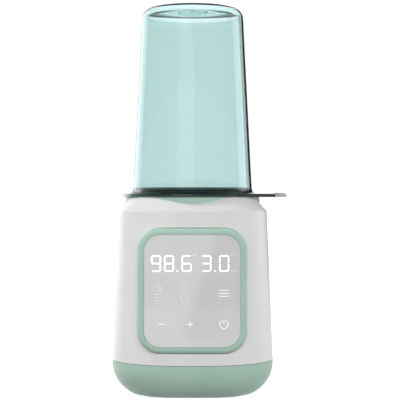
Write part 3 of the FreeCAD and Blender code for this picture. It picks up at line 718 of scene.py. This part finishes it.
@dataclass
class ModeMarks:
    """Four small generic marks for what the warmer can do.

    Sizes in mm. Rows are counted up from the panel's middle, and the clock's hands go right of its own.
    """

    stroke: float = 0.4
    left: float = -25.4
    right: float = -5.9
    thaw_row: float = 1.8
    thaw_ring: Point = (3.2, 2.2)
    thaw_drop: Point = (0.8, 0.9)
    thaw_drop_shift: float = 1.2
    steam_row: float = -9.0
    steam_pitch: float = 2.1
    steam_reach: Point = (1.6, 2.3)
    teat_row: float = 4.9
    teat_ring: Point = (0.6, 0.9)
    shoulder_row: float = 3.9
    shoulder_reach: float = 1.5
    side_reach: float = 1.9
    side_rows: Point = (2.9, -0.3)
    base_row: float = -0.7
    base_reach: float = 1.2
    clock_row: float = -5.9
    clock_ring: Point = (2.7, 2.7)
    clock_hands: tuple[Line, ...] = (((0.0, -5.7), (0.0, -4.5)), ((0.5, -6.3), (1.3, -6.9)))

    def draw(self, sign: Sign) -> None:
        """Draw all four.

        Args:
            sign: Where they are drawn.
        """
        self.draw_thaw(sign)
        self.draw_steam(sign)
        self.draw_bottle(sign)
        self.draw_clock(sign)

    def draw_thaw(self, sign: Sign) -> None:
        """Draw a small ring inside an oval one."""
        sign.arc((self.left, self.thaw_row), self.thaw_ring, *FULL_TURN, self.stroke)
        sign.arc((self.left + self.thaw_drop_shift, self.thaw_row), self.thaw_drop, *FULL_TURN, self.stroke)

    def draw_steam(self, sign: Sign) -> None:
        """Draw four level bars, short and long by turns.

        Args:
            sign: Where they are drawn.
        """
        for level in range(4):
            half = self.steam_reach[level % 2]
            z = self.steam_row + self.steam_pitch * level
            sign.bar((self.left - half, z), (self.left + half, z), self.stroke)

    def draw_bottle(self, sign: Sign) -> None:
        """Draw a bottle from its teat, its shoulder, its two sides and its base.

        Args:
            sign: Where it is drawn.
        """
        x, stroke = self.right, self.stroke
        sign.arc((x, self.teat_row), self.teat_ring, *HALF_TURN, stroke)
        reach = self.shoulder_reach
        sign.bar((x - reach, self.shoulder_row), (x + reach, self.shoulder_row), stroke)
        high, low = self.side_rows
        for side in (-1, 1):
            sign.bar((x + side * self.side_reach, high), (x + side * self.side_reach, low), stroke)
        sign.bar((x - self.base_reach, self.base_row), (x + self.base_reach, self.base_row), stroke)

    def draw_clock(self, sign: Sign) -> None:
        """Draw a clock face with its two hands, which stands for keeping warm.

        Args:
            sign: Where it is drawn.
        """
        sign.arc((self.right, self.clock_row), self.clock_ring, *FULL_TURN, self.stroke)
        for start, end in self.clock_hands:
            sign.bar((self.right + start[0], start[1]), (self.right + end[0], end[1]), self.stroke)


@dataclass
class TouchPanel:
    """The raised frame, the glossy panel, and the lit digits and key marks on it. Sizes in mm."""

    digit_width: float = 7.4
    digit_height: float = 12.1
    digit_stroke: float = 1.0
    digit_gap: float = 0.22
    digit_row: float = 19.9
    digits: tuple[tuple[str, float], ...] = (
        ("9", -26.5), ("8", -17.0), ("6", -4.1), ("3", 10.3), ("0", 23.4),
    )
    points: tuple[float, ...] = (-10.9, 16.8)
    point_reach: float = 0.1
    key_row: float = -24.5
    key_reach: float = 2.0
    minus_x: float = -22.3
    plus_x: float = -1.6
    power_x: float = 23.2
    power_ring: float = 3.1
    power_arc: Point = (118, 422)
    power_bar: Point = (0.6, 3.6)
    menu_row: float = -1.8
    menu_pitch: float = 2.2
    menu_reach: float = 3.4
    key_stroke: float = 0.5
    unit_stroke: float = 0.45
    unit_rise: float = 0.2
    unit_bars: tuple[Line, ...] = (
        ((2.4, -1.1), (2.4, 0.7)), ((2.9, 0.7), (3.6, 0.7)), ((28.2, 0.0), (30.4, 0.0)),
    )
    degree_x: float = 1.1
    degree_ring: Point = (0.6, 0.6)
    dash: Point = (28.6, 29.5)
    dash_pitch: float = 1.7
    dash_rise: float = 0.5
    mark_thickness: float = 0.06

    def build(self) -> None:
        """Dress the panel's nodes and add its marks."""
        dress({"panel_frame": MINT_ABS, "touch_panel": PANEL_ACRYLIC, "panel_adhesive": FOAM_TAPE})
        lit = Sign(self.mark_thickness)
        for digit, centre in self.digits:
            self.draw_digit(lit, digit, centre)
        for x in self.points:
            bottom = self.digit_row - self.digit_height / 2 + self.digit_stroke / 2
            lit.bar((x - self.point_reach, bottom), (x + self.point_reach, bottom), self.digit_stroke)
        self.place("display_digits", lit, LIT_WHITE)
        keys = Sign(self.mark_thickness)
        self.draw_keys(keys)
        self.place("key_marks", keys, KEY_PRINT)
        faint = Sign(self.mark_thickness)
        ModeMarks().draw(faint)
        self.draw_units(faint)
        self.place("mode_marks", faint, FAINT_PRINT)

    def face(self) -> Matrix:
        """The plane of the panel's front, read off the panel's own mesh.

        Returns:
            Its middle, with X to the right and Z up along the lean.
        """
        corner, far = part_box("touch_panel")
        middle = (corner + far) / 2
        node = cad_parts["touch_panel"].data
        highest = max(node.vertices, key=lambda vertex: (round(vertex.co.z, 5), -vertex.co.y)).co
        lowest_front = min(node.vertices, key=lambda vertex: vertex.co.y).co
        lean = math.atan2(highest.y - lowest_front.y, highest.z - lowest_front.z)
        outward = Vector((0.0, -math.cos(lean), math.sin(lean)))
        front = max(outward.dot(vertex.co) for vertex in node.vertices)
        origin = middle + outward * (front - outward.dot(middle))
        return Matrix.Translation(origin) @ Matrix.Rotation(-lean, 4, "X")

    def place(self, name: str, sign: Sign, finish: Finish) -> None:
        """Stand a set of marks against the front of the panel.

        Args:
            name: The piece's name.
            sign: The marks.
            finish: Their finish.
        """
        bmesh.ops.transform(sign.mesh, matrix=self.face(), verts=sign.mesh.verts)
        add_piece(name, sign.mesh, Body.BASE, finish)

    def draw_digit(self, sign: Sign, digit: str, centre: float) -> None:
        """Draw the lit bars of one digit.

        Args:
            sign: Where it is drawn.
            digit: The digit.
            centre: Its place from left to right.
        """
        half_x = (self.digit_width - self.digit_stroke) / 2
        half_z = (self.digit_height - self.digit_stroke) / 2
        low, mid, high = self.digit_row - half_z, self.digit_row, self.digit_row + half_z
        left, right = centre - half_x, centre + half_x
        ends = {
            Segment.TOP: ((left, high), (right, high)),
            Segment.UPPER_RIGHT: ((right, high), (right, mid)),
            Segment.LOWER_RIGHT: ((right, mid), (right, low)),
            Segment.BOTTOM: ((left, low), (right, low)),
            Segment.LOWER_LEFT: ((left, low), (left, mid)),
            Segment.UPPER_LEFT: ((left, mid), (left, high)),
            Segment.MIDDLE: ((left, mid), (right, mid)),
        }
        for segment, (start, end) in ends.items():
            if segment.value in LIT_SEGMENTS[digit]:
                self.draw_segment(sign, start, end)

    def draw_segment(self, sign: Sign, start: Point, end: Point) -> None:
        """Draw one bar of a digit, pointed at both ends and short of its neighbours.

        Args:
            sign: Where it is drawn.
            start: The corner that it starts from.
            end: The corner that it runs to.
        """
        half = self.digit_stroke / 2
        length = math.dist(start, end)
        ahead = ((end[0] - start[0]) / length, (end[1] - start[1]) / length)
        near, far = self.digit_gap, length - self.digit_gap
        outline = []
        for along, aside in (
            (near, 0.0), (near + half, -half), (far - half, -half),
            (far, 0.0), (far - half, half), (near + half, half),
        ):
            x = start[0] + ahead[0] * along - ahead[1] * aside
            outline.append((x, start[1] + ahead[1] * along + ahead[0] * aside))
        sign.polygon(outline)

    def draw_keys(self, sign: Sign) -> None:
        """Draw the minus, plus, power and menu marks.

        Args:
            sign: Where they are drawn.
        """
        row, reach, stroke = self.key_row, self.key_reach, self.key_stroke
        sign.bar((self.minus_x - reach, row), (self.minus_x + reach, row), stroke)
        sign.bar((self.plus_x - reach, row), (self.plus_x + reach, row), stroke)
        sign.bar((self.plus_x, row - reach), (self.plus_x, row - stroke / 2), stroke)
        sign.bar((self.plus_x, row + stroke / 2), (self.plus_x, row + reach), stroke)
        sign.arc((self.power_x, row), (self.power_ring, self.power_ring), *self.power_arc, stroke)
        low, high = self.power_bar
        sign.bar((self.power_x, row + low), (self.power_x, row + high), stroke)
        for level in (-1, 0, 1):
            z = self.menu_row + self.menu_pitch * level
            sign.bar((self.power_x - self.menu_reach, z), (self.power_x + self.menu_reach, z), stroke)

    def draw_units(self, sign: Sign) -> None:
        """Draw the small degree ring and the unit dashes beside the digits.

        Args:
            sign: Where they are drawn.
        """
        stroke = self.unit_stroke
        high = self.digit_row + self.digit_height / 2 + self.unit_rise
        low = self.digit_row - self.digit_height / 2 + self.dash_rise
        sign.arc((self.degree_x, high), self.degree_ring, *FULL_TURN, stroke)
        for start, end in self.unit_bars:
            sign.bar((start[0], high + start[1]), (end[0], high + end[1]), stroke)
        left, right = self.dash
        for step in range(3):
            shift = self.dash_pitch * step
            sign.bar((left + shift, low), (right + shift, low), stroke)


class OuterShells:
    """The white upper shell, the mint cup and collar, and the base plate with its small pieces."""

    def build(self) -> None:
        """Dress the shells."""
        dress({
            "main_housing": WHITE_ABS,
            "lower_housing": MINT_ABS,
            "collar_ring": MINT_ABS,
            "collar_seal": CLEAR_SILICONE,
            "bottom_cover": BASE_ABS,
            "rubber_feet": BLACK_RUBBER,
            "cord_gland": BLACK_RUBBER,
            "cover_screws": ZINC,
            "tank_screws": ZINC,
        })


class Heater:
    """The tank and the heater under it."""

    def build(self) -> None:
        """Dress the tank, its heated floor and what holds and controls it."""
        dress({
            "water_tank": DARK_PP,
            "heater_plate": ALUMINIUM,
            "heater_seal": CLEAR_SILICONE,
            "heating_element": STAINLESS,
            "heater_clamp": ZINC,
            "clamp_screws": ZINC,
            "thermistor": BLACK_EPOXY,
            "thermal_cutout": STAINLESS,
            "heater_wires": WIRE_SILICONE,
        })


class Electronics:
    """The boards and what is on them."""

    def build(self) -> None:
        """Dress the boards and their components."""
        dress({
            "digit_light_box": REFLECTOR,
            "touch_springs": ZINC,
            "display_board": BOARD,
            "display_board_screws": ZINC,
            "display_cable": FLAT_CABLE,
            "power_board": BOARD,
            "power_board_screws": ZINC,
            "power_relay": BLUE_PBT,
            "power_transformer": FERRITE,
            "power_capacitors": BLACK_EPOXY,
            "terminal_block": GREEN_NYLON,
            "fuse": FUSE_GLASS,
            "buzzer": BLACK_EPOXY,
        })


class LiftOffPieces:
    """The basket and the clear lid."""

    def build(self) -> None:
        """Dress the two pieces that lift off."""
        dress({"bottle_basket": BASKET_PP, "lid_dome": CLEAR_SAN})


# --- Studio ---------------------------------------------------------------------------------

class Reach(Enum):
    """Which surfaces a light acts on."""

    ALL = "matt and glossy"
    MATT = "matt only, so that it draws no highlight"
    GLOSS = "glossy only, so that it draws a highlight and lights nothing else"


@dataclass
class SoftBox:
    """A rectangular studio light. Metres, watts and degrees."""

    name: str
    place: tuple[float, float, float]
    aim: tuple[float, float, float]
    size: tuple[float, float]
    power: float
    roll: float = 0.0
    reach: Reach = Reach.ALL

    def build(self) -> None:
        """Hang the light and turn it to its aim."""
        data = bpy.data.lights.new(self.name, "AREA")
        data.shape = "RECTANGLE"
        data.size, data.size_y = self.size
        data.energy = self.power
        lamp = bpy.data.objects.new(self.name, data)
        bpy.context.scene.collection.objects.link(lamp)
        toward = Vector(self.aim) - Vector(self.place)
        turn = toward.to_track_quat("-Z", "Y").to_matrix().to_4x4()
        roll = Matrix.Rotation(math.radians(self.roll), 4, "Z")
        lamp.matrix_world = Matrix.Translation(self.place) @ (turn @ roll)
        lamp.visible_camera = False
        lamp.visible_transmission = False
        lamp.visible_diffuse = self.reach is not Reach.GLOSS
        lamp.visible_glossy = self.reach is not Reach.MATT


class Axis(Enum):
    """A direction that the surroundings change along."""

    DEPTH = "Y"
    HEIGHT = "Z"


@dataclass(frozen=True)
class Ramp:
    """A change in the surroundings' brightness along one axis of the direction seen."""

    axis: Axis
    start: float
    end: float
    start_strength: float
    end_strength: float

    def build(self, tree: Tree, axes: Node) -> Socket:
        """Add the ramp's node.

        Args:
            tree: The world's nodes.
            axes: The node that gives the direction's parts.

        Returns:
            The brightness.
        """
        values = {
            "From Min": self.start,
            "From Max": self.end,
            "To Min": self.start_strength,
            "To Max": self.end_strength,
        }
        place = {"Value": axes.outputs[self.axis.value]}
        return add_node(tree, "ShaderNodeMapRange", values, place).outputs["Result"]


@dataclass
class Studio:
    """Pale floor, soft surroundings, lights and the camera. Metres.

    The surroundings are dim in front and bright behind, and they fade overhead and below the floor. A
    dark flag stands behind the object on the right, where only glass and gloss see it: it draws the
    lid's right edge.
    """

    camera_place: tuple[float, float, float] = (0.0057, -0.985, 0.1482)
    lens_mm: float = 113.67
    floor_radius: float = 30.0
    floor_sides: int = 96
    front_to_back: Ramp = Ramp(Axis.DEPTH, -0.9, 0.1, 0.74, 1.04)
    overhead: Ramp = Ramp(Axis.HEIGHT, 0.16, 0.75, 1.0, 0.22)
    underfoot: Ramp = Ramp(Axis.HEIGHT, -0.25, 0.0, 0.2, 1.0)
    flag_place: tuple[float, float, float] = (0.72, 1.5, 0.3)
    flag_size: tuple[float, float] = (0.62, 2.0)

    def build(self) -> None:
        """Make the floor, the surroundings, the lights and the camera."""
        self.build_floor()
        self.build_surroundings()
        self.build_flag()
        for light in self.lights():
            light.build()
        self.build_camera()
        bpy.context.scene.view_settings.view_transform = "Standard"

    def lights(self) -> Iterable[SoftBox]:
        """The studio's soft boxes.

        Returns:
            A key and two fills for the matt surfaces, two rims for the glossy ones, and the box that
            the panel mirrors.
        """
        return (
            SoftBox("key_left", (-0.75, -0.1, 0.95), (0.0, 0.0, 0.14), (0.3, 0.3), 5.3, reach=Reach.MATT),
            SoftBox("fill_front", (0.25, -1.6, 0.9), (0.0, 0.0, 0.1), (0.6, 0.6), 7.2, reach=Reach.MATT),
            SoftBox("fill_right", (1.1, -0.45, 0.35), (0.0, 0.0, 0.1), (0.8, 1.0), 2.6, reach=Reach.MATT),
            SoftBox("rim_left", (-1.1, 1.2, 0.3), (0.0, 0.0, 0.24), (1.1, 1.6), 8.0, reach=Reach.GLOSS),
            SoftBox("rim_right", (1.5, 0.7, 0.3), (0.0, 0.0, 0.24), (0.8, 1.6), 6.0, reach=Reach.GLOSS),
            SoftBox("panel_sheen", (-0.66, -2.0, 0.1), (-0.66, 0.0, 0.1), (1.25, 1.6), 6.5, -18.5),
        )

    def build_floor(self) -> None:
        """A wide pale disc under the object, which throws no light up at it."""
        mesh = bmesh.new()
        bmesh.ops.create_circle(mesh, cap_ends=True, segments=self.floor_sides, radius=self.floor_radius)
        floor = mesh_object("studio_floor", mesh, FLOOR_VINYL)
        floor.visible_diffuse = False

    def build_flag(self) -> None:
        """A dark upright card that neither the camera nor diffuse light sees."""
        mesh = bmesh.new()
        bmesh.ops.create_grid(mesh, x_segments=1, y_segments=1, size=0.5)
        across, up = self.flag_size
        place = Matrix.Translation(self.flag_place) @ Matrix.Rotation(math.radians(90), 4, "X")
        bmesh.ops.transform(mesh, matrix=place @ Matrix.Diagonal((across, up, 1.0, 1.0)), verts=mesh.verts)
        flag = mesh_object("studio_flag", mesh, FLAG_CLOTH)
        flag.visible_camera = False
        flag.visible_diffuse = False
        flag.visible_shadow = False

    def build_surroundings(self) -> None:
        """White surroundings whose brightness is the product of three ramps."""
        world = bpy.data.worlds.new("studio")
        bpy.context.scene.world = world
        world.use_nodes = True
        tree = world.node_tree
        direction = add_node(tree, "ShaderNodeTexCoord").outputs["Generated"]
        axes = add_node(tree, "ShaderNodeSeparateXYZ", None, {"Vector": direction})
        strength = self.front_to_back.build(tree, axes)
        for ramp in (self.overhead, self.underfoot):
            product = add_node(tree, "ShaderNodeMath", None, None, operation="MULTIPLY")
            tree.links.new(strength, product.inputs[0])
            tree.links.new(ramp.build(tree, axes), product.inputs[1])
            strength = product.outputs["Value"]
        background = tree.nodes["Background"]
        tree.links.new(strength, background.inputs["Strength"])
        background.inputs["Color"].default_value = linear("#ffffff")

    def build_camera(self) -> None:
        """A long lens, level with the lower part of the lid."""
        data = bpy.data.cameras.new("camera")
        data.lens = self.lens_mm
        data.clip_end = 4 * self.floor_radius
        camera = bpy.data.objects.new("camera", data)
        bpy.context.scene.collection.objects.link(camera)
        camera.location = self.camera_place
        camera.rotation_euler = (math.radians(90), 0.0, 0.0)
        bpy.context.scene.camera = camera


def main() -> None:
    """Build the studio and every sub-assembly."""
    logging.basicConfig(level=logging.INFO, format="%(name)s: %(message)s")
    for part in (Studio(), OuterShells(), Heater(), Electronics(), TouchPanel(), LiftOffPieces()):
        LOG.info("building %s", type(part).__name__)
        part.build()


if __name__ == "__main__":
    main()
